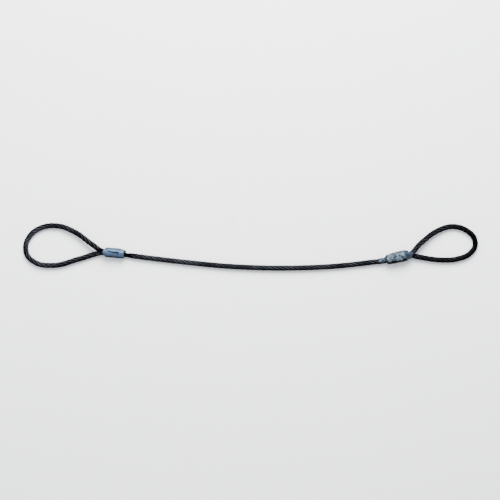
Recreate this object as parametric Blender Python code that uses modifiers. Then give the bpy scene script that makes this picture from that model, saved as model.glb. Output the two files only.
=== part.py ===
"""Single-leg wire rope sling with a soft eye at each end.

One length of six-strand rope is folded back at both ends. Each fold makes an eye, and a pressed
ferrule holds the fold's short tail on top of the rope that runs on. Silver tape covers the right
ferrule and the rope beside it. The sling lies on the floor, which is the plane z = 0, with the
origin under the middle of its box. Positions are in metres, and +X runs towards the right eye.
"""

import math

import bmesh
import bpy
from mathutils import Matrix, Vector
from mathutils.geometry import interpolate_bezier

MM = 0.001

# Rope: six strands laid right-handed round a fibre core. Its size is the nominal one.
ROPE_DIAMETER = 12 * MM
STRAND_COUNT = 6
LAY_LENGTH = 6 * ROPE_DIAMETER
STATIONS_PER_LAY = 10
STRAND_RADIUS = 1.79 * MM
STRAND_ORBIT = 4.33 * MM
ROPE_RADIUS = STRAND_ORBIT + STRAND_RADIUS
CORE_RADIUS = 2 * MM
STRAND_SIDES_RESOLUTION = 1

# Ferrules: pressed aluminium, with the two rope passes one above the other inside.
FERRULE_RADIUS = 11.2 * MM
FERRULE_LENGTH = 41 * MM
FERRULE_EDGE = 1.8 * MM
TAB_LENGTH = 7.5 * MM
SHOULDER_LENGTH = 13 * MM
SHOULDER_DEPTH = 2.8 * MM
FIT_GAP = 0.3 * MM
SQUEEZE = 0.81
SQUEEZE_MARGIN = 8 * MM
SQUEEZE_FADE = 11 * MM
BORE_RADIUS = SQUEEZE * ROPE_RADIUS + FIT_GAP
PASS_OFFSET = SQUEEZE * ROPE_RADIUS + FIT_GAP / 2
TAIL_LENGTH = 4 * MM
STRAIGHT_RUN = 8 * MM

# Tape: one run of it on the rope, one on the right ferrule and one where the eye's legs meet.
TAPE_THICKNESS = 0.4 * MM
TAPE_POINTS = 28
SLEEVE_RADIUS = FERRULE_RADIUS + FIT_GAP
SLEEVE_OVERHANG = 1 * MM
ROPE_TAPE_RADIUS = ROPE_RADIUS + 1.5 * FIT_GAP
ROPE_TAPE_START = 6 * MM
ROPE_TAPE_END = 22 * MM
CROTCH_TAPE_START = 2 * MM
CROTCH_TAPE_END = 15.5 * MM

# Each ferrule's middle, the way it points from the rope's body to its eye, and how far the pass
# of the cut tail leans to the ferrule's own +Y side from straight above the other pass.
LEFT_FERRULE = {
    "centre": Vector((-304.8, -14, 11.2)) * MM,
    "heading": math.radians(175),
    "lean": math.radians(-30),
}
RIGHT_FERRULE = {
    "centre": Vector((329.5, -23.9, 12.4)) * MM,
    "heading": math.radians(12),
    "lean": math.radians(15),
}

# The rope's route outside the ferrules, in millimetres, from the left tail to the right tail.
LEFT_EYE = [
    (-357, 6, 14.6),
    (-392, 31, 10.4),
    (-430, 46.4, 7.2),
    (-464, 45.8, 6.2),
    (-492.7, 30.6, 6.2),
    (-507.2, 4, 6.2),
    (-503.4, -20, 6.2),
    (-482.4, -37.2, 6.2),
    (-445, -42, 6.2),
    (-384, -26.6, 6.2),
]
BODY = [
    (-250, -22.6, 6.3),
    (-150, -34.5, 6.2),
    (-40, -44.6, 6.2),
    (80, -48, 6.2),
    (190, -43.8, 6.2),
    (275, -34.7, 6.6),
]
RIGHT_EYE = [
    (382, -23.5, 7.2),
    (430, -29.8, 6.2),
    (465, -27.9, 6.2),
    (492.8, -17.2, 6.2),
    (507.2, 1.9, 6.2),
    (504.6, 20.9, 6.2),
    (485.4, 38.3, 6.2),
    (455, 45.8, 6.2),
    (421.5, 35.8, 8.2),
    (382.3, 6.7, 13.6),
]


def clear_scene():
    for thing in list(bpy.data.objects):
        bpy.data.objects.remove(thing)


def collection_named(name):
    made = bpy.data.collections.new(name)
    bpy.context.scene.collection.children.link(made)
    return made


def material(name, colour, roughness, metallic):
    made = bpy.data.materials.new(name)
    made.use_nodes = True
    shader = made.node_tree.nodes["Principled BSDF"]
    shader.inputs["Base Color"].default_value = (*colour, 1)
    shader.inputs["Roughness"].default_value = roughness
    shader.inputs["Metallic"].default_value = metallic
    return made


def steel_wire_material():
    return material("greased_steel_wire", (0.055, 0.06, 0.07), 0.45, 0.8)


def core_material():
    return material("oiled_fibre", (0.09, 0.075, 0.05), 0.9, 0)


def ferrule_material():
    return material("pressed_aluminium", (0.32, 0.4, 0.5), 0.4, 0.9)


def tape_material():
    return material("silver_tape", (0.3, 0.37, 0.44), 0.35, 0.7)


def frame_of(ferrule):
    """The ferrule's own axes: +X along its bore towards the eye, +Z up."""
    return Matrix.Translation(ferrule["centre"]) @ Matrix.Rotation(ferrule["heading"], 4, "Z")


def pass_centre(ferrule, level):
    """Where a rope pass crosses the ferrule's middle plane, across and up: level 1 is the tail
    pass on top, and -1 the pass of the rope that runs on."""
    offset = level * PASS_OFFSET
    return offset * math.sin(ferrule["lean"]), offset * math.cos(ferrule["lean"])


def bore_run(ferrule, level, stops):
    """Points of the straight pass through a ferrule, at these distances from its middle."""
    across, up = pass_centre(ferrule, level)
    return [frame_of(ferrule) @ Vector((stop, across, up)) for stop in stops]


def rope_route():
    """Every point that the rope's middle passes through, from one cut end to the other."""
    mouth = FERRULE_LENGTH / 2
    clear, tail = mouth + STRAIGHT_RUN, mouth + TAIL_LENGTH
    runs = [
        bore_run(LEFT_FERRULE, 1, (-tail, mouth, clear)),
        [Vector(point) * MM for point in LEFT_EYE],
        bore_run(LEFT_FERRULE, -1, (clear, mouth, -mouth, -clear)),
        [Vector(point) * MM for point in BODY],
        bore_run(RIGHT_FERRULE, -1, (-clear, -mouth, mouth, clear)),
        [Vector(point) * MM for point in RIGHT_EYE],
        bore_run(RIGHT_FERRULE, 1, (clear, mouth, -tail)),
    ]
    return [point for run in runs for point in run]


def smooth_curve(points, steps=24):
    """A smooth curve through the points, whose handles follow the points on either side."""
    ahead = 2 * points[-1] - points[-2]
    behind = 2 * points[0] - points[1]
    padded = [behind, *points, ahead]
    slopes = []
    for before, here, after in zip(padded, padded[1:], padded[2:]):
        near, far = (here - before).length, (after - here).length
        slopes.append(((here - before) / near * far + (after - here) / far * near) / (near + far))
    line = [points[0]]
    for i, (start, end) in enumerate(zip(points, points[1:])):
        reach = (end - start).length / 3
        knots = interpolate_bezier(
            start, start + slopes[i] * reach, end - slopes[i + 1] * reach, end, steps + 1
        )
        line += knots[1:]
    return line


def evenly_spaced(line, spacing):
    """The line again, with points the same distance apart."""
    lengths = [(b - a).length for a, b in zip(line, line[1:])]
    count = round(sum(lengths) / spacing)
    step = sum(lengths) / count
    spaced, travelled, i = [line[0]], 0.0, 0
    for k in range(1, count):
        while travelled + lengths[i] < k * step:
            travelled += lengths[i]
            i += 1
        spaced.append(line[i].lerp(line[i + 1], (k * step - travelled) / lengths[i]))
    return [*spaced, line[-1]]


def cross_directions(stations):
    """At each station, two directions square to the rope that turn no more than the rope bends."""
    side = Vector((0, 0, 1))
    pairs = []
    for i in range(len(stations)):
        behind, ahead = stations[max(i - 1, 0)], stations[min(i + 1, len(stations) - 1)]
        along = (ahead - behind).normalized()
        side = (side - along * side.dot(along)).normalized()
        pairs.append((side.copy(), along.cross(side)))
    return pairs


def squeeze_at(point):
    """How much of its full diameter the rope has: less inside a ferrule and just outside it."""
    half = FERRULE_LENGTH / 2 + SQUEEZE_MARGIN
    share = 1.0
    for ferrule in (LEFT_FERRULE, RIGHT_FERRULE):
        local = frame_of(ferrule).inverted() @ point
        if Vector((local.y, local.z)).length < 2 * ROPE_DIAMETER:
            fade = (abs(local.x) - half) / SQUEEZE_FADE
            share = min(share, SQUEEZE + (1 - SQUEEZE) * min(max(fade, 0), 1))
    return share


def tube(name, points, radii, look, home):
    """A round bar along the points, with its own radius at each of them."""
    data = bpy.data.curves.new(name, "CURVE")
    data.dimensions = "3D"
    data.bevel_depth = 1
    data.bevel_resolution = STRAND_SIDES_RESOLUTION
    data.use_fill_caps = True
    spline = data.splines.new("POLY")
    spline.points.add(len(points) - 1)
    for knot, place, radius in zip(spline.points, points, radii):
        knot.co = (*place, 1)
        knot.radius = radius
    data.materials.append(look)
    made = bpy.data.objects.new(name, data)
    home.objects.link(made)
    return made


def strand(number, stations, home, look):
    """One strand, a right-handed helix round the rope's middle line."""
    spacing = (stations[1] - stations[0]).length
    points, radii = [], []
    for i, (middle, (side, up)) in enumerate(zip(stations, cross_directions(stations))):
        turn = math.tau * (i * spacing / LAY_LENGTH + number / STRAND_COUNT)
        share = squeeze_at(middle)
        points.append(middle + (side * math.cos(turn) + up * math.sin(turn)) * STRAND_ORBIT * share)
        radii.append(STRAND_RADIUS * share)
    return tube(f"strand_{number + 1}", points, radii, look, home)


def rope_core(stations, home, look):
    radii = [CORE_RADIUS * squeeze_at(middle) for middle in stations]
    return tube("rope_core", stations, radii, look, home)


def mesh_object(name, mesh, home, place=None):
    made = bpy.data.objects.new(name, mesh)
    home.objects.link(made)
    if place is not None:
        made.matrix_world = place
    return made


def cutter(name, mesh, home, place):
    made = mesh_object(name, mesh, home, place)
    made.hide_render = True
    made.display_type = "WIRE"
    return made


def cut(target, tool):
    step = target.modifiers.new(f"cut_{tool.name}", "BOOLEAN")
    step.object = tool
    step.operation = "DIFFERENCE"
    step.solver = "EXACT"


def turned_outline(name, outline):
    """A mesh of one open outline, for a Screw modifier to turn round Z."""
    mesh = bpy.data.meshes.new(name)
    edges = [(i, i + 1) for i in range(len(outline) - 1)]
    mesh.from_pydata(outline, edges, [])
    return mesh


def arc(centre_x, centre_z, radius, start, end, steps):
    """Points of an arc in the XZ plane, from one angle in degrees to another."""
    angles = [math.radians(start + (end - start) * i / steps) for i in range(steps + 1)]
    return [
        (centre_x + radius * math.cos(a), 0, centre_z + radius * math.sin(a)) for a in angles
    ]


def obround_bar(name, radius, offset, length):
    """A bar along Z whose section is a circle pulled apart along X by the offset each way."""
    bpy.ops.mesh.primitive_cylinder_add(vertices=28, radius=radius, depth=length)
    made = bpy.context.object
    mesh = made.data
    mesh.name = name
    mesh.transform(Matrix.Rotation(math.pi / 28, 4, "Z"))
    for vertex in mesh.vertices:
        vertex.co.x += math.copysign(offset, vertex.co.x)
    bpy.data.objects.remove(made)
    return mesh


def cut_beside(target, name, place, side, along, home):
    """Cuts off what lies beyond the place's XZ plane, on its +Y or -Y side, with a block whose
    middle is this far along X."""
    size = 3 * FERRULE_RADIUS
    bpy.ops.mesh.primitive_cube_add(size=size)
    made = bpy.context.object
    mesh = made.data
    mesh.name = name
    bpy.data.objects.remove(made)
    cut(target, cutter(name, mesh, home, place @ Matrix.Translation((along, side * size / 2, 0))))


def ferrule(name, spec, home, cutters, look):
    """A pressed ferrule: a round bar with rounded rims, the obround bore of the two rope passes,
    an eye end that is cut back at both sides into a pointed tab above and below, and a shoulder
    that slopes down towards the cut tail at the other end."""
    frame = frame_of(spec)
    half = FERRULE_LENGTH / 2
    upright = frame @ Matrix.Rotation(math.pi / 2, 4, "Y")

    # The bar's own Z runs along the bore towards the eye.
    tip = half + TAB_LENGTH
    rim = FERRULE_RADIUS - FERRULE_EDGE
    outline = [(0, 0, tip)]
    outline += arc(rim, tip - FERRULE_EDGE, FERRULE_EDGE, 90, 0, 4)
    outline += arc(rim, FERRULE_EDGE - half, FERRULE_EDGE, 0, -90, 4)
    outline.append((0, 0, -half))
    made = mesh_object(name, turned_outline(name, outline), home, upright)
    made.data.materials.append(look)
    turn = made.modifiers.new("turn", "SCREW")
    turn.steps = turn.render_steps = 36
    turn.use_merge_vertices = True
    turn.merge_threshold = 1e-5

    lean = Matrix.Rotation(-spec["lean"], 4, "X")
    bore = obround_bar(f"{name}_bore", BORE_RADIUS, PASS_OFFSET, 2 * FERRULE_LENGTH)
    along_bore = Matrix.Rotation(math.pi / 2, 4, "Y")
    cut(made, cutter(f"{name}_bore", bore, cutters, frame @ lean @ along_bore))

    slope = math.atan2(FERRULE_RADIUS, TAB_LENGTH)
    for side in (-1, 1):
        place = frame @ Matrix.Translation((tip, 0, 0)) @ Matrix.Rotation(-side * slope, 4, "Z")
        cut_beside(made, f"{name}_side_{side}", place, side, -1.1 * FERRULE_RADIUS, cutters)
    slope = math.atan2(SHOULDER_DEPTH, SHOULDER_LENGTH)
    side = math.copysign(1, spec["lean"])
    start = Vector((SHOULDER_LENGTH - half, side * FERRULE_RADIUS, 0))
    place = frame @ Matrix.Translation(start) @ Matrix.Rotation(side * slope, 4, "Z")
    cut_beside(made, f"{name}_shoulder", place, side, -1.4 * FERRULE_RADIUS, cutters)
    return made


def sleeve(name, sections, place, home, look):
    """Tape that fits round the rope: a thin skin through sections that each give their distance
    along X, the middle of the section, its radius, how far and at what angle from upright it is
    pulled apart, and how far it slants along X for each step across."""
    shape = bmesh.new()
    rings = []
    for along, across, up, radius, offset, lean, slant in sections:
        ring = []
        for k in range(TAPE_POINTS):
            angle = math.tau * (k + 0.5) / TAPE_POINTS
            pulled = radius * math.cos(angle) + math.copysign(offset, math.cos(angle))
            point = Matrix.Rotation(-lean, 3, "X") @ Vector((0, radius * math.sin(angle), pulled))
            point.x = slant * point.y
            ring.append(shape.verts.new(point + Vector((along, across, up))))
        rings.append(ring)
    for near, far in zip(rings, rings[1:]):
        for k in range(TAPE_POINTS):
            following = (k + 1) % TAPE_POINTS
            shape.faces.new((near[k], far[k], far[following], near[following]))
    mesh = bpy.data.meshes.new(name)
    shape.to_mesh(mesh)
    shape.free()
    mesh.materials.append(look)
    made = mesh_object(name, mesh, home, place)
    skin = made.modifiers.new("thickness", "SOLIDIFY")
    skin.thickness = TAPE_THICKNESS
    skin.offset = 1
    return made


def tape_on_ferrule(home, look):
    """Tape over the whole ferrule, drawn in at the body end over the cut tail."""
    half, lean = FERRULE_LENGTH / 2, RIGHT_FERRULE["lean"]
    tucked = BORE_RADIUS + FIT_GAP
    sections = [
        (-half - TAIL_LENGTH - SLEEVE_OVERHANG, 0, 0, tucked, PASS_OFFSET, lean, 0),
        (-half - SLEEVE_OVERHANG, 0, 0, SLEEVE_RADIUS, 0, lean, 0),
        (half + SLEEVE_OVERHANG, 0, 0, SLEEVE_RADIUS, 0, lean, 0),
    ]
    return sleeve("tape_on_ferrule", sections, frame_of(RIGHT_FERRULE), home, look)


def tape_on_crotch(home, look):
    """Tape over the ferrule's tab and the first stretch of the eye's two legs, whose sections
    pass from round, over the tab, to two circles side by side that lean over with the legs."""
    half = FERRULE_LENGTH / 2
    start, tab, end = half + CROTCH_TAPE_START, half + TAB_LENGTH, half + CROTCH_TAPE_END
    over_tab, over_legs = math.radians(10), math.radians(36)
    sections = [
        (start, 0, 0, SLEEVE_RADIUS + 0.1 * MM, 0, over_tab, 0),
        (tab, 0, 0.3 * MM, 9.2 * MM, 3 * MM, over_tab, 0),
        (end, -0.9 * MM, -0.2 * MM, 7 * MM, 5.9 * MM, over_legs, -0.3),
    ]
    return sleeve("tape_on_crotch", sections, frame_of(RIGHT_FERRULE), home, look)


def tape_on_rope(home, look):
    """Tape round the rope that runs on, just before the ferrule. The rope has swung a little
    across and down by the far end of the tape."""
    half = FERRULE_LENGTH / 2
    across, up = pass_centre(RIGHT_FERRULE, -1)
    sections = [
        (-half - ROPE_TAPE_END, across + 0.9 * MM, up - 0.3 * MM, ROPE_TAPE_RADIUS, 0, 0, 0),
        (-half - ROPE_TAPE_START, across, up, ROPE_TAPE_RADIUS, 0, 0, 0),
    ]
    return sleeve("tape_on_rope", sections, frame_of(RIGHT_FERRULE), home, look)


def main():
    clear_scene()
    home = collection_named("wire_rope_sling")
    cutters = collection_named("cutters")
    wire, fibre = steel_wire_material(), core_material()
    stations = evenly_spaced(smooth_curve(rope_route()), LAY_LENGTH / STATIONS_PER_LAY)
    for number in range(STRAND_COUNT):
        strand(number, stations, home, wire)
    rope_core(stations, home, fibre)
    aluminium = ferrule_material()
    ferrule("ferrule_left", LEFT_FERRULE, home, cutters, aluminium)
    ferrule("ferrule_right", RIGHT_FERRULE, home, cutters, aluminium)
    silver = tape_material()
    tape_on_rope(home, silver)
    tape_on_ferrule(home, silver)
    tape_on_crotch(home, silver)


main()
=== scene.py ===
import math

import bmesh
import bpy
from mathutils import Matrix, Vector, noise
from mathutils.geometry import interpolate_bezier


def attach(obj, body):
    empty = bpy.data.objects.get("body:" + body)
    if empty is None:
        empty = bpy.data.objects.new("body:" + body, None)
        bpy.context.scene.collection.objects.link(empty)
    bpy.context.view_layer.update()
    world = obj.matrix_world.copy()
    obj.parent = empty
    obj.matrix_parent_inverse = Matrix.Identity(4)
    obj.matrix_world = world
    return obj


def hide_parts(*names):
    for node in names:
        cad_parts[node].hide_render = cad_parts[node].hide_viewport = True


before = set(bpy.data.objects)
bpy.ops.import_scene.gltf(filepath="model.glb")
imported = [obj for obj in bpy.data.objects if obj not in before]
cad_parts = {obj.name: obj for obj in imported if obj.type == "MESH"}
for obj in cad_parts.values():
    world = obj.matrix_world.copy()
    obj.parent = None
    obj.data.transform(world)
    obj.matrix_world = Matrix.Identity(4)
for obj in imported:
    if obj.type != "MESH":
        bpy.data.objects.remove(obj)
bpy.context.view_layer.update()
print("loaded the frame with", len(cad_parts), "nodes")

mm = 0.001

view = {
    "aim": (-1.0 * mm, -7.3 * mm, 10 * mm),
    "height": 2.6,
    "width": 1.127,  # how much of the floor fits across the frame
    "sensor": 36,
}


def makeCamera():
    data = bpy.data.cameras.new("camera")
    data.sensor_width = view["sensor"]
    data.lens = view["sensor"] * view["height"] / view["width"]
    data.clip_start, data.clip_end = 0.1, 20
    camera = bpy.data.objects.new("camera", data)
    camera.location = Vector(view["aim"]) + Vector((0, 0, view["height"]))
    bpy.context.scene.collection.objects.link(camera)
    bpy.context.scene.camera = camera


makeCamera()
print("camera placed")

# the rope runs from the cut end in the left ferrule to the cut end in the right one
rope = {
    "diameter": 12 * mm,
    "strands": 6,
    "lay": 72 * mm,
    "stationsPerLay": 30,
    "strandRadius": 2.0 * mm,
    "orbit": 4.25 * mm,
    "wires": 12,
    "wireRadius": 0.42 * mm,
    "wireLay": 33 * mm,  # the other way round from the strands, so wires run along the rope
    "pointsPerWire": 5,
    "tail": 4 * mm,
    "straight": 8 * mm,
    "margin": 8 * mm,
    "fade": 11 * mm,
    "gapShadeDepth": 5.75 * mm,  # how far from the middle the gaps between strands get painted shade
    "crest": 6.2 * mm,  # from where outwards the strands are free of the painted shade in the gaps
    "unshadedSide": 0.65,  # how far round towards the side away from the eyes' bulge (−Y) the rope stays free of the painted shade on that side
}
ferrule = {
    "radius": 11.2 * mm,
    "length": 41 * mm,
    "edge": 1.8 * mm,
    "tab": 7.5 * mm,
    "shoulderLength": 13 * mm,
    "shoulderDepth": 2.8 * mm,
    "gap": 0.3 * mm,
    "squeeze": 0.81,  # how far the rope is pressed together inside
    "bore": 5.257 * mm,
    "passOffset": 5.107 * mm,  # of each rope pass from the middle
}
leftFerrule = {
    "centre": Vector((-304.8, -14, 11.2)) * mm,
    "heading": math.radians(175),
    "lean": math.radians(-30),  # of the cut tail, which is the upper pass
}
rightFerrule = {
    "centre": Vector((329.5, -23.9, 12.4)) * mm,
    "heading": math.radians(12),
    "lean": math.radians(15),
}

# millimetres
leftEye = [
    (-357, 6, 14.6), (-392, 31, 10.4), (-430, 46.4, 7.2), (-464, 45.8, 6.2), (-492.7, 30.6, 6.2),
    (-507.2, 4, 6.2), (-503.4, -20, 6.2), (-482.4, -37.2, 6.2), (-445, -42, 6.2),
    (-384, -26.6, 6.2),
]
ropeBody = [
    (-250, -22.6, 6.3), (-150, -34.5, 6.2), (-40, -44.6, 6.2), (80, -48, 6.2),
    (190, -43.8, 6.2), (275, -34.7, 6.6),
]
rightEye = [
    (382, -23.5, 7.2), (430, -29.8, 6.2), (465, -27.9, 6.2), (492.8, -17.2, 6.2),
    (507.2, 1.9, 6.2), (504.6, 20.9, 6.2), (485.4, 38.3, 6.2), (455, 45.8, 6.2),
    (421.5, 35.8, 8.2), (382.3, 6.7, 13.6),
]


def frameOf(which):
    # +X along the bore towards the eye, +Z up
    return Matrix.Translation(which["centre"]) @ Matrix.Rotation(which["heading"], 4, "Z")


def passCentre(which, level):
    offset = level * ferrule["passOffset"]
    return offset * math.sin(which["lean"]), offset * math.cos(which["lean"])


def boreRun(which, level, stops):
    across, up = passCentre(which, level)
    return [frameOf(which) @ Vector((stop, across, up)) for stop in stops]


def inMetres(points):
    return [Vector(point) * mm for point in points]


def ropeRoute():
    mouth = ferrule["length"] / 2
    clear, tail = mouth + rope["straight"], mouth + rope["tail"]
    runs = [
        boreRun(leftFerrule, 1, (-tail, mouth, clear)),
        inMetres(leftEye),
        boreRun(leftFerrule, -1, (clear, mouth, -mouth, -clear)),
        inMetres(ropeBody),
        boreRun(rightFerrule, -1, (-clear, -mouth, mouth, clear)),
        inMetres(rightEye),
        boreRun(rightFerrule, 1, (clear, mouth, -tail)),
    ]
    return [point for run in runs for point in run]


def smoothCurve(points, steps=24):
    padded = [2 * points[0] - points[1], *points, 2 * points[-1] - points[-2]]
    slopes = []
    for before, here, after in zip(padded, padded[1:], padded[2:]):
        near, far = (here - before).length, (after - here).length
        slopes.append(((here - before) / near * far + (after - here) / far * near) / (near + far))
    line = [points[0]]
    for i, (start, end) in enumerate(zip(points, points[1:])):
        reach = (end - start).length / 3
        startHandle, endHandle = start + slopes[i] * reach, end - slopes[i + 1] * reach
        line += interpolate_bezier(start, startHandle, endHandle, end, steps + 1)[1:]
    return line


def evenlySpaced(line, spacing):
    lengths = [(b - a).length for a, b in zip(line, line[1:])]
    count = round(sum(lengths) / spacing)
    step = sum(lengths) / count
    spaced, travelled, i = [line[0]], 0.0, 0
    for k in range(1, count):
        while travelled + lengths[i] < k * step:
            travelled += lengths[i]
            i += 1
        spaced.append(line[i].lerp(line[i + 1], (k * step - travelled) / lengths[i]))
    return [*spaced, line[-1]]


def crossDirections(stations):
    # two directions square to the rope that turn no more than the rope bends
    side = Vector((0, 0, 1))
    pairs = []
    for i in range(len(stations)):
        behind, ahead = stations[max(i - 1, 0)], stations[min(i + 1, len(stations) - 1)]
        along = (ahead - behind).normalized()
        side = (side - along * side.dot(along)).normalized()
        pairs.append((side.copy(), along.cross(side)))
    return pairs


def clamped(value):
    return min(max(value, 0), 1)


def squeezeAt(point):
    half = ferrule["length"] / 2 + rope["margin"]
    share = 1.0
    for which in (leftFerrule, rightFerrule):
        local = frameOf(which).inverted() @ point
        if Vector((local.y, local.z)).length < 2 * rope["diameter"]:
            fade = clamped((abs(local.x) - half) / rope["fade"])
            share = min(share, ferrule["squeeze"] + (1 - ferrule["squeeze"]) * fade)
    return share


stations = evenlySpaced(smoothCurve(ropeRoute()), rope["lay"] / rope["stationsPerLay"])
spacing = (stations[1] - stations[0]).length
directions = crossDirections(stations)
squeezes = [squeezeAt(point) for point in stations]


def newMaterial(name):
    made = bpy.data.materials.new(name)
    made.use_nodes = True
    return made, made.node_tree.nodes, made.node_tree.links, made.node_tree.nodes["Principled BSDF"]


def addNode(nodes, kind, **values):
    made = nodes.new(kind)
    for name, value in values.items():
        if name in made.inputs:
            made.inputs[name].default_value = value
        else:
            setattr(made, name, value)
    return made


def addNoise(nodes, links, scale, detail, roughness, stretch=(1, 1, 1)):
    # noise in the object's own coordinates, stretched along its axes
    place = addNode(nodes, "ShaderNodeTexCoord")
    stretched = addNode(nodes, "ShaderNodeMapping", Scale=stretch)
    links.new(place.outputs["Object"], stretched.inputs["Vector"])
    made = addNode(nodes, "ShaderNodeTexNoise", Scale=scale, Detail=detail, Roughness=roughness)
    links.new(stretched.outputs["Vector"], made.inputs["Vector"])
    return made.outputs["Fac"]


def addRamp(nodes, links, value, stops):
    # each stop is a place and a grey or a colour
    made = nodes.new("ShaderNodeValToRGB")
    while len(made.color_ramp.elements) < len(stops):
        made.color_ramp.elements.new(0.5)
    for element, (place, tone) in zip(made.color_ramp.elements, stops):
        element.position = place
        element.color = (*tone, 1) if isinstance(tone, tuple) else (tone, tone, tone, 1)
    links.new(value, made.inputs["Fac"])
    return made.outputs["Color"]


def addMix(nodes, links, kind, factor, first, second):
    # sockets 6 and 7 are the colours, and output 2 is the mixed one
    made = nodes.new("ShaderNodeMix")
    made.data_type = "RGBA"
    made.blend_type = kind
    for socket, value in ((0, factor), (6, first), (7, second)):
        if isinstance(value, bpy.types.NodeSocket):
            links.new(value, made.inputs[socket])
        elif socket == 0:
            made.inputs[0].default_value = value
        else:
            made.inputs[socket].default_value = (*value, 1)
    return made.outputs[2]


def addBump(nodes, links, shader, height, strength, distance):
    made = addNode(nodes, "ShaderNodeBump", Strength=strength, Distance=distance)
    links.new(height, made.inputs["Height"])
    links.new(made.outputs["Normal"], shader.inputs["Normal"])


def placed(name, mesh):
    made = bpy.data.objects.new(name, mesh)
    bpy.context.scene.collection.objects.link(made)
    return made


def evaluatedMesh(piece, name):
    bpy.context.view_layer.update()
    mesh = bpy.data.meshes.new_from_object(
        piece.evaluated_get(bpy.context.evaluated_depsgraph_get())
    )
    mesh.name = name
    return mesh


steel = {
    "bright": (0.078, 0.082, 0.097),
    "dull": (0.021, 0.023, 0.029),
    "greaseAndShade": (0.0015, 0.0015, 0.002),
    "rightEye": (0.01, 0.01, 0.0105),
    "rightEyeFrom": 0.25,  # metres along the sling
    "rightEyeTo": 0.43,
    "rightEyeShare": 0.75,
    "metallic": 0.35,
    "specular": 0.02,
    "edgeTint": (0.12, 0.12, 0.14),
    "roughness": (0.6, 0.42),  # where it is dull and where it is bright
    "patchScale": 30,
    "speckScale": 900,
    "speckShare": 0.8,
    "speckDepth": 0.05 * mm,
}


def makeSteel():
    made, nodes, links, shader = newMaterial("greased wire")
    patches = addNoise(nodes, links, steel["patchScale"], 4, 0.6)
    specks = addNoise(nodes, links, steel["speckScale"], 3, 0.7)
    worn = addRamp(nodes, links, patches, [(0.35, steel["dull"]), (0.66, steel["bright"])])
    speckled = addRamp(nodes, links, specks, [(0.3, 0.5), (0.62, 1.0)])
    toned = addMix(nodes, links, "MULTIPLY", steel["speckShare"], worn, speckled)

    # the right eye is the greasier end
    place = addNode(nodes, "ShaderNodeTexCoord")
    split = addNode(nodes, "ShaderNodeSeparateXYZ")
    links.new(place.outputs["Object"], split.inputs["Vector"])
    towardsRight = addNode(nodes, "ShaderNodeMapRange", interpolation_type="SMOOTHSTEP")
    towardsRight.inputs["From Min"].default_value = steel["rightEyeFrom"]
    towardsRight.inputs["From Max"].default_value = steel["rightEyeTo"]
    towardsRight.inputs["To Max"].default_value = steel["rightEyeShare"]
    links.new(split.outputs["X"], towardsRight.inputs["Value"])
    darkened = addMix(nodes, links, "MIX", towardsRight.outputs["Result"], toned, steel["rightEye"])

    # grease in the grooves between wires, with painted shade in the gaps between strands and along
    # the rope's −Y side
    dirtAndShadeMask = addNode(nodes, "ShaderNodeAttribute", attribute_name="dirtAndShadeMask")
    lighter = addRamp(nodes, links, dirtAndShadeMask.outputs["Fac"], [(0.12, 0.0), (0.8, 1.0)])
    colour = addMix(nodes, links, "MIX", lighter, steel["greaseAndShade"], darkened)
    links.new(colour, shader.inputs["Base Color"])

    rough = addNode(nodes, "ShaderNodeMapRange")
    rough.inputs["To Min"].default_value = steel["roughness"][0]
    rough.inputs["To Max"].default_value = steel["roughness"][1]
    links.new(patches, rough.inputs["Value"])
    links.new(rough.outputs["Result"], shader.inputs["Roughness"])
    shader.inputs["Metallic"].default_value = steel["metallic"]
    shader.inputs["Specular IOR Level"].default_value = steel["specular"]
    shader.inputs["Specular Tint"].default_value = (*steel["edgeTint"], 1)
    addBump(nodes, links, shader, specks, 0.25, steel["speckDepth"])
    return made


def wireOutline(radius, lobes, lobeRadius, pointsPerLobe):
    # a closed outline of touching wires round a circle
    ring = radius - lobeRadius
    outline = []
    for lobe in range(lobes):
        middle = math.tau * lobe / lobes
        for k in range(pointsPerLobe):
            swing = (k / pointsPerLobe - 0.5) * math.tau / lobes
            across = ring * math.sin(swing)
            reach = ring * math.cos(swing) + math.sqrt(max(lobeRadius**2 - across**2, 0))
            outline.append((reach * math.cos(middle + swing), reach * math.sin(middle + swing), 0))
    return outline


def outlineCurve(name, outline):
    data = bpy.data.curves.new(name, "CURVE")
    data.dimensions = "2D"
    data.fill_mode = "NONE"
    spline = data.splines.new("POLY")
    spline.points.add(len(outline) - 1)
    for knot, point in zip(spline.points, outline):
        knot.co = (*point, 1)
    spline.use_cyclic_u = True
    return placed(name, data)


def markCrests(mesh, line, outline):
    # 1 on a wire's crest that faces outwards, 0 in a groove or in the gap between two strands:
    # grease in the grooves between wires, painted shade in the gaps between strands and on the
    # rope's −Y side
    lengths = [math.hypot(x, y) for x, y, z in outline]
    low, high = min(lengths), max(lengths)
    dirtAndShadeMask = mesh.attributes.new("dirtAndShadeMask", "FLOAT", "POINT")
    for vertex in mesh.vertices:
        ring = min(vertex.index // len(outline), len(line) - 1)
        near = (vertex.co - line[ring]).length / squeezes[ring]
        crest = clamped((near - low) / (high - low))
        side, up = directions[ring]
        away = vertex.co - stations[ring]
        across, above = away.dot(side) / squeezes[ring], away.dot(up) / squeezes[ring]
        out = math.hypot(across, above)
        # painted shade in the gaps between strands
        shown = clamped((out - rope["gapShadeDepth"]) / (rope["crest"] - rope["gapShadeDepth"]))
        # painted shade: the rope's −Y side, away from the key light, is darkened
        lighter = clamped(away.normalized().y + rope["unshadedSide"])
        dirtAndShadeMask.data[vertex.index].value = crest * shown * math.sqrt(lighter)


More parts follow.
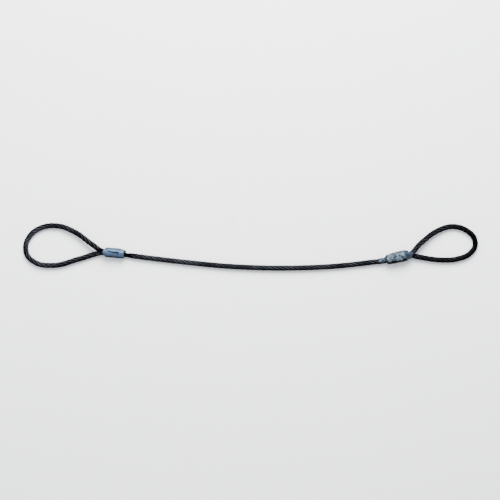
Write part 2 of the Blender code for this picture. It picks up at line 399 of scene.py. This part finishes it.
def sweep(name, line, twistPerStep, outline, look):
    # an outline drawn along a line, turned a little more at each station
    profile = outlineCurve(name + "_outline", outline)
    data = bpy.data.curves.new(name, "CURVE")
    data.dimensions = "3D"
    data.bevel_mode = "OBJECT"
    data.bevel_object = profile
    data.use_fill_caps = True
    spline = data.splines.new("POLY")
    spline.points.add(len(line) - 1)
    for i, (knot, point, share) in enumerate(zip(spline.points, line, squeezes)):
        knot.co = (*point, 1)
        knot.radius = share
        knot.tilt = twistPerStep * i
    drawn = placed(name + "_line", data)
    mesh = evaluatedMesh(drawn, name)
    bpy.data.objects.remove(drawn)
    bpy.data.objects.remove(profile)
    markCrests(mesh, line, outline)

    shape = bmesh.new()
    shape.from_mesh(mesh)
    bmesh.ops.remove_doubles(shape, verts=shape.verts, dist=0.001 * mm)
    bmesh.ops.recalc_face_normals(shape, faces=shape.faces)
    shape.to_mesh(mesh)
    shape.free()
    mesh.shade_smooth()
    mesh.set_sharp_from_angle(angle=math.radians(50))
    mesh.materials.clear()
    mesh.materials.append(look)
    return placed(name, mesh)


def strandLine(number):
    line = []
    for i, (middle, (side, up)) in enumerate(zip(stations, directions)):
        turn = math.tau * (i * spacing / rope["lay"] + number / rope["strands"])
        orbit = rope["orbit"] * squeezes[i]
        line.append(middle + (side * math.cos(turn) + up * math.sin(turn)) * orbit)
    return line


def makeStrands():
    look = makeSteel()
    outline = wireOutline(
        rope["strandRadius"], rope["wires"], rope["wireRadius"], rope["pointsPerWire"]
    )
    twist = -math.tau * spacing / rope["wireLay"]
    made = []
    for number in range(rope["strands"]):
        strand = sweep(f"strand_{number + 1}_wires", strandLine(number), twist, outline, look)
        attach(strand, "root")
        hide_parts(f"strand_{number + 1}")
        made.append(strand)
    return made


strandPieces = makeStrands()
print("strands drawn")

core = {
    "radius": 2.1 * mm,
    "yarns": 3,
    "yarnRadius": 1.0 * mm,
    "pointsPerYarn": 12,
    "lay": 40 * mm,
    "fibreScale": 1400,
    "dark": (0.02, 0.016, 0.012),
    "light": (0.06, 0.05, 0.035),
}


def makeCore():
    made, nodes, links, shader = newMaterial("oiled fibre")
    fibres = addNoise(nodes, links, core["fibreScale"], 3, 0.5)
    shade = addRamp(nodes, links, fibres, [(0.3, core["dark"]), (0.75, core["light"])])
    links.new(shade, shader.inputs["Base Color"])
    shader.inputs["Roughness"].default_value = 0.8
    outline = wireOutline(core["radius"], core["yarns"], core["yarnRadius"], core["pointsPerYarn"])
    piece = sweep("rope_core_yarns", stations, math.tau * spacing / core["lay"], outline, made)
    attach(piece, "root")
    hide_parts("rope_core")
    return piece


corePiece = makeCore()
print("core drawn")

aluminium = {
    "lighter": (0.06, 0.095, 0.15),
    "dull": (0.03, 0.05, 0.082),
    # painted shade colour for the seam groove, the bore and the lower edge
    "paintedShade": (0.001, 0.003, 0.007),
    "metallic": 0.5,
    "specular": 0.05,
    "edgeTint": (0.25, 0.3, 0.38),
    "roughness": (0.55, 0.36),  # in a scratch and beside it
    "cloudScale": 55,
    "scratchScale": (120, 1500, 1500),
    "scratchDepth": 0.06 * mm,
}
pressing = {
    "ringEvery": 0.9 * mm,
    "turns": 200,
    "rimSteps": 6,
    "dents": 0.14 * mm,
    "dentScale": 80,
    "seamDepth": 0.7 * mm,
    "seamLip": 0.25 * mm,
    "seamWidth": (1.2 * mm, 1.9 * mm),  # at the eye end and at the body end
    "seamMiddle": 0.7 * mm,
    "seamSlope": -0.075,
    "seamWave": 0.35 * mm,
    "seamWaveLength": 17 * mm,
    "seamRun": (-10 * mm, 19 * mm),
    "rim": 0.5 * mm,
    "shadeInside": 8.5 * mm,  # how far from the middle the painted shade in the bore reaches, before it fades
    "shadeBeside": 6.8 * mm,  # how far across the painted shade along the lower (−Y) edge begins
    "shadeFade": 2 * mm,
    "shadeShare": 0.88,
}


def makeAluminium():
    made, nodes, links, shader = newMaterial("pressed aluminium")
    clouds = addNoise(nodes, links, aluminium["cloudScale"], 3, 0.5)
    scratches = addNoise(nodes, links, 1, 4, 0.8, aluminium["scratchScale"])
    base = addRamp(nodes, links, clouds, [(0.35, aluminium["dull"]), (0.6, aluminium["lighter"])])
    dirtAndShadeMask = addNode(nodes, "ShaderNodeAttribute", attribute_name="dirtAndShadeMask")
    colour = addMix(nodes, links, "MIX", dirtAndShadeMask.outputs["Fac"], aluminium["paintedShade"], base)
    links.new(colour, shader.inputs["Base Color"])
    low, high = aluminium["roughness"]
    rough = addRamp(nodes, links, scratches, [(0.3, low), (0.7, high)])
    links.new(rough, shader.inputs["Roughness"])
    shader.inputs["Metallic"].default_value = aluminium["metallic"]
    shader.inputs["Specular IOR Level"].default_value = aluminium["specular"]
    shader.inputs["Specular Tint"].default_value = (*aluminium["edgeTint"], 1)
    addBump(nodes, links, shader, scratches, 0.3, aluminium["scratchDepth"])
    return made


def seamAt(along):
    # where the pressed seam's groove is across the top, how wide, and how deep from 0 to 1
    start, end = pressing["seamRun"]
    share = clamped((along - start) / (end - start))
    wave = math.sin(math.tau * along / pressing["seamWaveLength"]) * pressing["seamWave"]
    across = -pressing["seamMiddle"] + pressing["seamSlope"] * along + wave
    toEye, toBody = pressing["seamWidth"]
    depth = min(share / 0.1, (1 - share) / 0.15, 1)
    return across, toBody + (toEye - toBody) * share, max(depth, 0)


def barrel(seed):
    # the round bar, along +X, with a pressed seam along its top
    half, tip = ferrule["length"] / 2, ferrule["length"] / 2 + ferrule["tab"]
    edge, radius, steps = ferrule["edge"], ferrule["radius"], pressing["rimSteps"]
    quarter = [math.pi / 2 * k / steps for k in range(steps + 1)]
    outline = [(-half, 0)]
    for a in quarter:
        outline.append((-half + edge * (1 - math.cos(a)), radius - edge * (1 - math.sin(a))))
    run = tip + half - 2 * edge
    rings = int(run / pressing["ringEvery"])
    outline += [(-half + edge + run * k / rings, radius) for k in range(1, rings)]
    for a in quarter:
        outline.append((tip - edge * (1 - math.sin(a)), radius - edge * (1 - math.cos(a))))
    outline.append((tip, 0))
    shape = bmesh.new()
    points = [shape.verts.new((x, 0, z)) for x, z in outline]
    edges = [shape.edges.new(pair) for pair in zip(points, points[1:])]
    bmesh.ops.spin(
        shape, geom=points + edges, cent=(0, 0, 0), axis=(1, 0, 0), angle=math.tau,
        steps=pressing["turns"], use_merge=True,
    )
    bmesh.ops.remove_doubles(shape, verts=shape.verts, dist=0.001 * mm)
    for vertex in shape.verts:
        out = Vector((0, vertex.co.y, vertex.co.z))
        if out.length < 0.5 * radius:
            continue
        place = vertex.co * pressing["dentScale"] + Vector((seed, 0, 0))
        move = noise.noise(place) * pressing["dents"]
        if vertex.co.z > 0:
            across, width, depth = seamAt(vertex.co.x)
            off = (vertex.co.y - across) / width
            lip = math.exp(-((off + 2) ** 2) / 2) * pressing["seamLip"]
            move += (lip - math.exp(-(off**2)) * pressing["seamDepth"]) * depth
        vertex.co += out.normalized() * move
    bmesh.ops.recalc_face_normals(shape, faces=shape.faces)
    mesh = bpy.data.meshes.new("barrel")
    shape.to_mesh(mesh)
    shape.free()
    return mesh


def boreTool(place):
    shape = bmesh.new()
    bmesh.ops.create_cone(
        shape, cap_ends=True, segments=64, radius1=ferrule["bore"], radius2=ferrule["bore"],
        depth=3 * ferrule["length"], matrix=Matrix.Rotation(math.pi / 64, 4, "Z"),
    )
    for vertex in shape.verts:
        vertex.co.x += math.copysign(ferrule["passOffset"], vertex.co.x)
    bmesh.ops.transform(shape, matrix=place, verts=shape.verts)
    mesh = bpy.data.meshes.new("bore")
    shape.to_mesh(mesh)
    shape.free()
    return placed("bore", mesh)


def blockTool(place, side, along):
    # a block beyond the place's XZ plane
    size = 3 * ferrule["radius"]
    shape = bmesh.new()
    bmesh.ops.create_cube(
        shape, size=size, matrix=place @ Matrix.Translation((along, side * size / 2, 0))
    )
    mesh = bpy.data.meshes.new("block")
    shape.to_mesh(mesh)
    shape.free()
    return placed("block", mesh)


def ferruleTools(which):
    place = frameOf(which)
    half, radius = ferrule["length"] / 2, ferrule["radius"]
    lean = Matrix.Rotation(-which["lean"], 4, "X")
    tools = [boreTool(place @ lean @ Matrix.Rotation(math.pi / 2, 4, "Y"))]
    slope = math.atan2(radius, ferrule["tab"])
    tip = place @ Matrix.Translation((half + ferrule["tab"], 0, 0))
    for side in (-1, 1):
        tools.append(
            blockTool(tip @ Matrix.Rotation(-side * slope, 4, "Z"), side, -1.1 * radius)
        )
    side = math.copysign(1, which["lean"])
    slope = math.atan2(ferrule["shoulderDepth"], ferrule["shoulderLength"])
    start = Vector((ferrule["shoulderLength"] - half, side * radius, 0))
    shoulder = place @ Matrix.Translation(start) @ Matrix.Rotation(side * slope, 4, "Z")
    tools.append(blockTool(shoulder, side, -1.4 * radius))
    return tools


def makeFerrule(name, which, look, seed):
    place = frameOf(which)
    solid = placed(name + "_bar", barrel(seed))
    solid.data.transform(place)
    solid.data.materials.append(look)
    tools = ferruleTools(which)
    for tool in tools:
        cut = solid.modifiers.new("cut", "BOOLEAN")
        cut.object = tool
        cut.operation = "DIFFERENCE"
        cut.solver = "EXACT"
    rim = solid.modifiers.new("rim", "BEVEL")
    rim.width = pressing["rim"]
    rim.segments = 3
    rim.limit_method = "ANGLE"
    rim.angle_limit = math.radians(25)
    rim.use_clamp_overlap = True
    mesh = evaluatedMesh(solid, name)
    for tool in [*tools, solid]:
        bpy.data.objects.remove(tool)

    # painted shade in the seam groove, in the bore and along the lower (−Y) edge
    back = place.inverted()
    down = -math.copysign(1, place[1][1])
    dirtAndShadeMask = mesh.attributes.new("dirtAndShadeMask", "FLOAT", "POINT")
    for vertex in mesh.vertices:
        local = back @ vertex.co
        across, width, depth = seamAt(local.x)
        seam = math.exp(-(((local.y - across) / (1.2 * width)) ** 2)) * depth if local.z > 0 else 0
        reach = math.hypot(local.y, local.z)
        outside = clamped((reach - pressing["shadeInside"]) / pressing["shadeFade"])
        # painted shade along the −Y edge, away from the key light
        darkened = clamped((down * local.y - pressing["shadeBeside"]) / pressing["shadeFade"])
        lighter = (1 - seam**0.7) * (1 - pressing["shadeShare"] * darkened)
        dirtAndShadeMask.data[vertex.index].value = outside * lighter
    mesh.shade_smooth()
    mesh.set_sharp_from_angle(angle=math.radians(40))
    piece = placed(name + "_pressed", mesh)
    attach(piece, "root")
    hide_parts(name)


aluminiumLook = makeAluminium()
makeFerrule("ferrule_left", leftFerrule, aluminiumLook, 3)
makeFerrule("ferrule_right", rightFerrule, aluminiumLook, 8)
print("ferrules pressed")

tape = {
    "thickness": 0.22 * mm,
    "silver": (0.098, 0.124, 0.149),
    "shade": (0.013, 0.021, 0.033),
    # painted shade on the lower edge, the underside and the strand grooves, and dirt at the frayed
    # edges
    "grimeAndShade": (0.001, 0.0013, 0.0018),
    "metallic": 0.3,
    "specular": 0.05,
    "edgeTint": (0.2, 0.24, 0.3),
    "roughness": (0.55, 0.32),
    "cloudScale": 110,
    "smearScale": 150,
    "threads": 1300,
    "folds": (6.2, 0, 3.4),  # which part of the noise the folds come from
    "shadeBand": (2.2 * mm, 5.2 * mm, 1.6 * mm),  # width of the painted shade along the lower edge, on the rope, ferrule and collar
    "shadeRagged": 0.9,
    "foldsAlong": 95,
    "foldsRound": 1.2,
    "layer": 0.352 * mm,  # how much a whole turn lifts the tape
    "flapFrom": 0.93,  # the share of its length after which a strip's end lifts off
    "frayed": 2 * mm,  # how far in from an edge the tape is dirty
    "floorGap": 0.15 * mm,
}


def makeTapeLook():
    made, nodes, links, shader = newMaterial("silver tape")
    clouds = addNoise(nodes, links, tape["cloudScale"], 5, 0.65)
    smears = addNoise(nodes, links, tape["smearScale"], 5, 0.7)
    # the fold attribute paints highlights on the fold ridges and shade in the dents, over random
    # clouds
    height = addNode(nodes, "ShaderNodeAttribute", attribute_name="fold")
    worn = addNode(nodes, "ShaderNodeMath", operation="ADD")
    links.new(clouds, worn.inputs[0])
    links.new(height.outputs["Fac"], worn.inputs[1])
    base = addRamp(nodes, links, worn.outputs["Value"], [(0.5, tape["shade"]), (1, tape["silver"])])
    dirtAndShadeMask = addNode(nodes, "ShaderNodeAttribute", attribute_name="dirtAndShadeMask")
    edge = addNode(nodes, "ShaderNodeMath", operation="MULTIPLY_ADD")
    links.new(dirtAndShadeMask.outputs["Fac"], edge.inputs[0])
    edge.inputs[1].default_value = 1.2
    edge.inputs[2].default_value = -0.6
    lifted = addNode(nodes, "ShaderNodeMath", operation="ADD")
    links.new(edge.outputs["Value"], lifted.inputs[0])
    links.new(smears, lifted.inputs[1])
    lighter = addRamp(nodes, links, lifted.outputs["Value"], [(0.4, 0.0), (0.56, 1.0)])
    colour = addMix(nodes, links, "MIX", lighter, tape["grimeAndShade"], base)
    links.new(colour, shader.inputs["Base Color"])
    shader.inputs["Metallic"].default_value = tape["metallic"]
    shader.inputs["Specular IOR Level"].default_value = tape["specular"]
    shader.inputs["Specular Tint"].default_value = (*tape["edgeTint"], 1)
    low, high = tape["roughness"]
    rough = addRamp(nodes, links, clouds, [(0.3, low), (0.7, high)])
    links.new(rough, shader.inputs["Roughness"])
    weave = addNode(nodes, "ShaderNodeTexVoronoi", Scale=tape["threads"])
    place = addNode(nodes, "ShaderNodeTexCoord")
    links.new(place.outputs["Object"], weave.inputs["Vector"])
    addBump(nodes, links, shader, weave.outputs["Distance"], 0.2, 0.08 * mm)
    return made


# what the tape lies on, in the ferrule's own axes: where along it, the middle across and up,
# the radius, how far it is pulled apart and the lean of that pull
half = ferrule["length"] / 2
bodyPass = passCentre(rightFerrule, -1)
wrapSections = [
    (-half - 22 * mm, -0.4 * mm, -5.5 * mm, 6.3 * mm, 0, rightFerrule["lean"]),
    (-half - 12 * mm, -1.2 * mm, -5.2 * mm, 5.7 * mm, 0, rightFerrule["lean"]),
    (-half - 7 * mm, bodyPass[0], bodyPass[1], 5.2 * mm, 0, rightFerrule["lean"]),
    (-half - 4.4 * mm, 0, 0, 5.25 * mm, ferrule["passOffset"], rightFerrule["lean"]),
    (-half - 0.3 * mm, 0, 0, 11.3 * mm, 0, rightFerrule["lean"]),
    (half, 0, 0, 11.4 * mm, 0, rightFerrule["lean"]),
    (half + 7.5 * mm, 0, 0.1 * mm, 8.2 * mm, 3.6 * mm, math.radians(14)),
    (half + 17 * mm, 0.3 * mm, -0.4 * mm, 6.25 * mm, 6.2 * mm, math.radians(42)),
]


def sectionAt(along):
    for near, far in zip(wrapSections, wrapSections[1:]):
        if along <= far[0] or far is wrapSections[-1]:
            share = clamped((along - near[0]) / (far[0] - near[0]))
            return [a + (b - a) * share for a, b in zip(near[1:], far[1:])]


def shoulderLimit(along):
    # how far across the ferrule reaches on the side of the cut tail
    share = clamped((ferrule["shoulderLength"] - half - along) / ferrule["shoulderLength"])
    return ferrule["radius"] + ferrule["gap"] - ferrule["shoulderDepth"] * share


def wrapPoint(along, angle, lift):
    across, up, radius, pull, lean = sectionAt(along)
    spread = pull * math.tanh(6 * math.cos(angle))
    reach = radius + lift
    point = Vector((0, reach * math.sin(angle), reach * math.cos(angle) + spread))
    local = Matrix.Rotation(-lean, 3, "X") @ point + Vector((along, across, up))
    if -half - 1 * mm < along < 0:
        local.y = min(local.y, shoulderLimit(along) + lift)
    return local


def crumple(along, angle):
    # folded facets that meet in sharp ridges, on top of broad dents, the same in every layer
    size = tape["foldsRound"]
    at = Vector((along * tape["foldsAlong"] + 0.5 * math.sin(angle), 0, 0))
    at += Vector((0, math.cos(angle) * size, math.sin(angle) * size)) + Vector(tape["folds"])
    folds = noise.voronoi(at)[0][0]
    fine = noise.voronoi(at * 2.3)[0][0]
    crease = max(1 - 3 * abs(noise.noise(Vector((at.x * 1.5, at.y * 2.2, at.z * 2.2)))), 0)
    return 1.0 * folds + 0.35 * fine + 0.5 * crease**2 + 0.5 * noise.noise(at * 0.7) - 0.4


def ropeRelief(along, angle):
    # the strands under the tape
    turn = math.tau * along / rope["lay"]
    return abs(math.cos(rope["strands"] / 2 * (angle - turn)))


def stripPoint(strip, u, v):
    angle = math.radians(strip["from"] + (strip["to"] - strip["from"]) * v)
    rag = noise.noise(Vector((v * 12, strip["seed"], 0))) * strip["rag"]
    ragFar = noise.noise(Vector((v * 14, strip["seed"] + 5, 0))) * strip["rag"]
    start = strip["start"] + rag + strip["startSlant"] * math.sin(angle)
    end = strip["end"] + ragFar
    turned = angle + math.radians(strip["tongueTurned"])
    end += strip["endSlant"] * math.sin(turned)
    end += strip["endTongue"] * max(math.cos(turned), 0) ** 3
    along = start + (end - start) * u
    turns = (strip["to"] - strip["from"]) * v / 360
    fold = crumple(along, angle)
    lift = strip["lift"] + turns * tape["layer"] + strip["crumple"] * max(fold, -0.1)
    lift += strip["relief"] * ropeRelief(along, angle)
    lift += strip["flap"] * clamped((v - tape["flapFrom"]) / (1 - tape["flapFrom"])) ** 2
    fray = clamped(0.25 + min(along - start, end - along) / tape["frayed"])
    return along, angle, lift, fold, fray


def paintedShadeAt(along, local, fold):
    # 1 is unshaded and 0 is black with painted shade, which lies along the side away from the eye's
    # bulge (−Y) and on the underside facing the floor; the fold adds painted highlight on the
    # ridges
    across, up, radius, pull, lean = sectionAt(along)
    onRope, onFerrule, onCollar = tape["shadeBand"]
    band = onFerrule if along < half - 1 * mm else onCollar
    if along < -half - 5 * mm:
        band = onRope
    band *= 1 + tape["shadeRagged"] * noise.noise(Vector((along * 160, 4.2, 0)))
    edge = local.y - (across - pull * math.sin(lean) - radius)
    lighter = clamped((edge - 0.7 * band) / (0.6 * band))
    # painted shade on the underside that faces the floor
    under = clamped((local.z - up + 0.5 * radius) / (0.4 * radius))
    return clamped(0.1 + 0.75 * lighter * under + 0.2 * fold)


def makeStrip(name, node, strip, look):
    # one strip of tape, laid round the part from one angle to another, in degrees from the top
    shape = bmesh.new()
    bmesh.ops.create_grid(shape, x_segments=strip["long"], y_segments=strip["round"], size=0.5)
    dirtAndShadeMask = shape.verts.layers.float.new("dirtAndShadeMask")
    height = shape.verts.layers.float.new("fold")
    place = frameOf(rightFerrule)
    for vertex in shape.verts:
        along, angle, lift, fold, fray = stripPoint(strip, vertex.co.x + 0.5, vertex.co.y + 0.5)
        local = wrapPoint(along, angle, lift)
        vertex.co = place @ local
        vertex.co.z = max(vertex.co.z, tape["floorGap"])
        # painted shade in the grooves between the strands under the tape
        grooveShading = 1 - strip["grooveShade"] * (1 - ropeRelief(along, angle))
        downward = -local.y / (10 * mm)
        vertex[dirtAndShadeMask] = paintedShadeAt(along, local, fold) * fray * grooveShading
        # painted highlight on the fold ridges and painted shade in the dents, with a painted
        # gradient lighter towards −Y
        vertex[height] = strip["shine"] * (0.8 * fold - 0.1) + 0.08 * downward
    bmesh.ops.recalc_face_normals(shape, faces=shape.faces)
    mesh = bpy.data.meshes.new(name)
    shape.to_mesh(mesh)
    shape.free()
    mesh.shade_smooth()
    mesh.materials.append(look)
    made = placed(name, mesh)
    skin = made.modifiers.new("thickness", "SOLIDIFY")
    skin.thickness = tape["thickness"]
    skin.offset = 0
    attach(made, "root")
    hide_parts(node)


plainStrip = {
    "long": 70, "round": 170, "from": 0, "to": 385, "rag": 1.4 * mm, "startSlant": 0,
    "endSlant": 0, "endTongue": 0, "tongueTurned": 0, "lift": 0.1 * mm, "crumple": 0.9 * mm,
    "relief": 0, "grooveShade": 0, "shine": 1, "flap": 0, "seed": 1,
}
strips = [
    ("tape_rope_turn", "tape_on_rope", {
        "start": -half - 21 * mm, "end": -half - 6 * mm, "from": -160, "to": 240, "seed": 4,
        "startSlant": 1.5 * mm, "crumple": 0.15 * mm, "relief": 0.5 * mm, "grooveShade": 0.75,
        "shine": 0.3, "lift": 0, "long": 50,
    }),
    ("tape_rope_turn_over", "tape_on_rope", {
        "start": -half - 12 * mm, "end": -half - 2 * mm, "from": 100, "to": 480, "seed": 9,
        "startSlant": -2 * mm, "crumple": 0.3 * mm, "relief": 0.4 * mm, "grooveShade": 0.4,
        "shine": 0.4, "lift": 0.36 * mm, "long": 40,
    }),
    ("tape_ferrule_turn", "tape_on_ferrule", {
        "start": -half - 5.5 * mm, "end": half - 8 * mm, "from": 150, "to": 540, "seed": 2,
        "startSlant": -1.5 * mm, "flap": 1.2 * mm, "long": 100,
    }),
    ("tape_ferrule_turn_over", "tape_on_ferrule", {
        "start": -4 * mm, "end": half + 1.5 * mm, "from": -75, "to": 310, "seed": 6,
        "startSlant": 5 * mm, "lift": 0.5 * mm, "long": 80,
    }),
    ("tape_crotch_turn", "tape_on_crotch", {
        "start": half - 2 * mm, "end": half + 9.5 * mm, "from": 170, "to": 550, "seed": 12,
        "endSlant": -2.5 * mm, "endTongue": 8 * mm, "tongueTurned": 40, "crumple": 0.45 * mm,
        "shine": 0.3, "long": 60,
    }),
]
tapeLook = makeTapeLook()
for stripName, stripNode, changes in strips:
    makeStrip(stripName, stripNode, {**plainStrip, **changes}, tapeLook)
print("tape wound on")

light = {
    "floor": (0.93, 0.935, 0.94),
    "world": (0.88, 0.93, 1.0),
    "worldStrength": 1.1,
    "key": {"place": (0.1, 1.8, 1.8), "size": 1.8, "power": 270, "colour": (1, 0.99, 0.97)},
    "fill": {"place": (-1.4, 0.4, 1.6), "size": 1.4, "power": 15, "colour": (0.93, 0.96, 1)},
}


def makeFloor():
    made, nodes, links, shader = newMaterial("pale floor")
    shader.inputs["Base Color"].default_value = (*light["floor"], 1)
    shader.inputs["Roughness"].default_value = 0.9
    shape = bmesh.new()
    bmesh.ops.create_grid(shape, x_segments=1, y_segments=1, size=6)
    mesh = bpy.data.meshes.new("floor")
    shape.to_mesh(mesh)
    shape.free()
    mesh.materials.append(made)
    placed("floor", mesh)


def makeLight(name, settings):
    data = bpy.data.lights.new(name, "AREA")
    data.shape = "DISK"
    data.size = settings["size"]
    data.energy = settings["power"]
    data.color = settings["colour"]
    lamp = placed(name, data)
    lamp.location = settings["place"]
    lamp.rotation_euler = (-Vector(settings["place"])).to_track_quat("-Z", "Y").to_euler()


def makeWorld():
    world = bpy.data.worlds.new("soft sky")
    world.use_nodes = True
    background = world.node_tree.nodes["Background"]
    background.inputs["Color"].default_value = (*light["world"], 1)
    background.inputs["Strength"].default_value = light["worldStrength"]
    bpy.context.scene.world = world


makeFloor()
makeLight("key", light["key"])
makeLight("fill", light["fill"])
makeWorld()
print("floor and lights placed")
